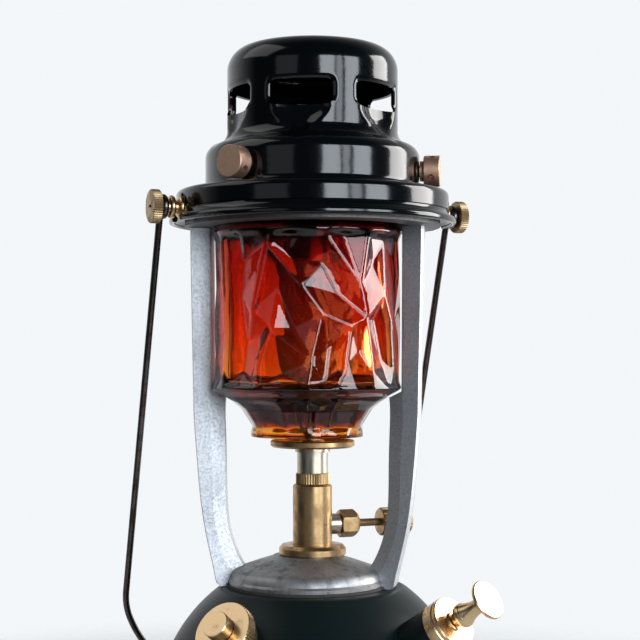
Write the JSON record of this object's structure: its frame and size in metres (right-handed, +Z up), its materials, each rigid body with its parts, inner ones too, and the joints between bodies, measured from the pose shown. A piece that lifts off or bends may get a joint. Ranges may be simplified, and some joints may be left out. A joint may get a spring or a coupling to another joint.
{
  "type": "paraffin pressure lantern",
  "caption": "Portable paraffin pressure lantern: round pump-up tank, cast cage, coloured crystal glass round a mantle burner, ventilated enamel hood and wire bail.",
  "frame": {"origin": "centre of the foot ring's ground face", "axes": "+Z up along the tank and burner axis; +X along the bail's pins, towards the control knob; the pump and filler are on the -Y side"},
  "size_m": [0.1598, 0.1805, 0.3412],
  "materials": {
    "tank_paint": "satin dark green-black paint",
    "black_enamel": "high gloss vitreous enamel",
    "cast_aluminium": "fine sand-cast, lightly tumbled",
    "brass_aged": "machined, slightly dulled",
    "brass_polished": "polished",
    "bronze_aged": "copper-brown, turned and tarnished",
    "nickel": "nickel plate, slightly yellowed",
    "steel_wire": "drawn wire, dark",
    "amber_glass": "thick crumpled crystal glass",
    "mantle_cloth": "knitted mantle cloth",
    "carrier_ceramic": "unglazed",
    "foot_rubber": "matt",
    "gasket_fibre": "matt fibre-filled",
    "cup_leather": "oiled"
  },
  "bodies": {
    "root": {"tank_dome": "tank_paint", "tank_pan": "tank_paint", "pump_boss": "tank_paint", "foot_ring": "foot_rubber", "cage_gasket": "gasket_fibre", "cage_base_plate": "cast_aluminium", "cage_top_ring": "cast_aluminium", "cage_upright_right": "cast_aluminium", "cage_upright_left": "cast_aluminium", "bail_standoff_left": "brass_polished", "bail_standoff_right": "brass_polished", "glass_globe": "amber_glass", "base_flange": "brass_aged", "burner_sleeve": "brass_aged", "packing_boss": "nickel", "packing_nut": "brass_aged", "spindle_packing": "gasket_fibre", "union_ring": "brass_aged", "stem_tube": "nickel", "gallery_plate": "brass_aged", "vaporiser_tube": "nickel", "jet": "brass_aged", "mantle": "mantle_cloth", "mantle_carrier": "carrier_ceramic", "burner_head": "nickel", "burner_spider": "nickel", "mixing_chamber": "nickel", "stem_union": "brass_aged", "stem_locknut": "brass_aged", "pickup_tube": "brass_aged", "pickup_filter": "brass_aged", "pump_barrel": "brass_aged", "check_valve": "brass_aged", "pump_cap": "brass_polished", "filler_neck": "brass_aged", "filler_gasket": "gasket_fibre"},
    "bail": {"bail": "steel_wire"},
    "hood": {"hood_crown": "black_enamel", "hood_brim": "black_enamel"},
    "hood_screw_1": {"hood_screw_1": "bronze_aged"},
    "hood_screw_2": {"hood_screw_2": "bronze_aged"},
    "hood_screw_3": {"hood_screw_3": "bronze_aged"},
    "bail_nut_left": {"bail_nut_left": "brass_aged"},
    "bail_nut_right": {"bail_nut_right": "brass_aged"},
    "pump": {"pump_rod": "brass_polished", "pump_piston": "cup_leather", "piston_nut": "brass_aged", "pump_knob": "brass_polished"},
    "filler_cap": {"filler_cap": "brass_polished"},
    "relief_screw": {"relief_screw": "brass_polished"},
    "control": {"control_spindle": "brass_aged", "control_knob": "brass_aged"},
    "needle": {"needle_rod": "steel_wire"}
  },
  "joints": [
    {"name": "bail_swing", "type": "hinge", "parent": "root", "child": "bail", "pos_m": [0, 0, 0.262], "axis": [1, 0, 0], "range_deg": [0, 321]},
    {"name": "hood_lift", "type": "slide", "parent": "root", "child": "hood", "axis": [0, 0, 1], "range_m": [0, 0.11]},
    {"name": "hood_screw_1_turn", "type": "hinge", "parent": "hood", "child": "hood_screw_1", "pos_m": [-0.04763, -0.0275, 0.2805], "axis": [-0.866, -0.5, 0], "range_deg": [0, 720]},
    {"name": "hood_screw_2_turn", "type": "hinge", "parent": "hood", "child": "hood_screw_2", "pos_m": [0.04763, -0.0275, 0.2805], "axis": [0.866, -0.5, 0], "range_deg": [0, 720]},
    {"name": "hood_screw_3_turn", "type": "hinge", "parent": "hood", "child": "hood_screw_3", "pos_m": [0, 0.055, 0.2805], "axis": [0, 1, 0], "range_deg": [0, 720]},
    {"name": "bail_nut_left_turn", "type": "hinge", "parent": "root", "child": "bail_nut_left", "pos_m": [-0.077, 0, 0.262], "axis": [-1, 0, 0], "range_deg": [0, 1080]},
    {"name": "bail_nut_right_turn", "type": "hinge", "parent": "root", "child": "bail_nut_right", "pos_m": [0.077, 0, 0.262], "axis": [1, 0, 0], "range_deg": [0, 1080]},
    {"name": "pump_stroke", "type": "slide", "parent": "root", "child": "pump", "axis": [0.3829, -0.7515, 0.5373], "range_m": [0, 0.04]},
    {"name": "filler_cap_turn", "type": "hinge", "parent": "root", "child": "filler_cap", "pos_m": [-0.05606, -0.0364, 0.0717], "axis": [-0.6836, -0.444, 0.5793], "range_deg": [0, 720]},
    {"name": "relief_screw_turn", "type": "hinge", "parent": "filler_cap", "child": "relief_screw", "pos_m": [-0.06016, -0.03907, 0.07518], "axis": [-0.6836, -0.444, 0.5793], "range_deg": [0, 360]},
    {"name": "control_turn", "type": "hinge", "parent": "root", "child": "control", "pos_m": [0.042, 0, 0.1134], "axis": [1, 0, 0], "range_deg": [0, 180]},
    {"name": "needle_lift", "type": "slide", "parent": "root", "child": "needle", "axis": [0, 0, 1], "range_m": [0, 0.00241]}
  ],
  "couplings": [
    {"joint": "needle_lift", "follows": "control_turn", "m_per_rad": 0.00076394}
  ]
}
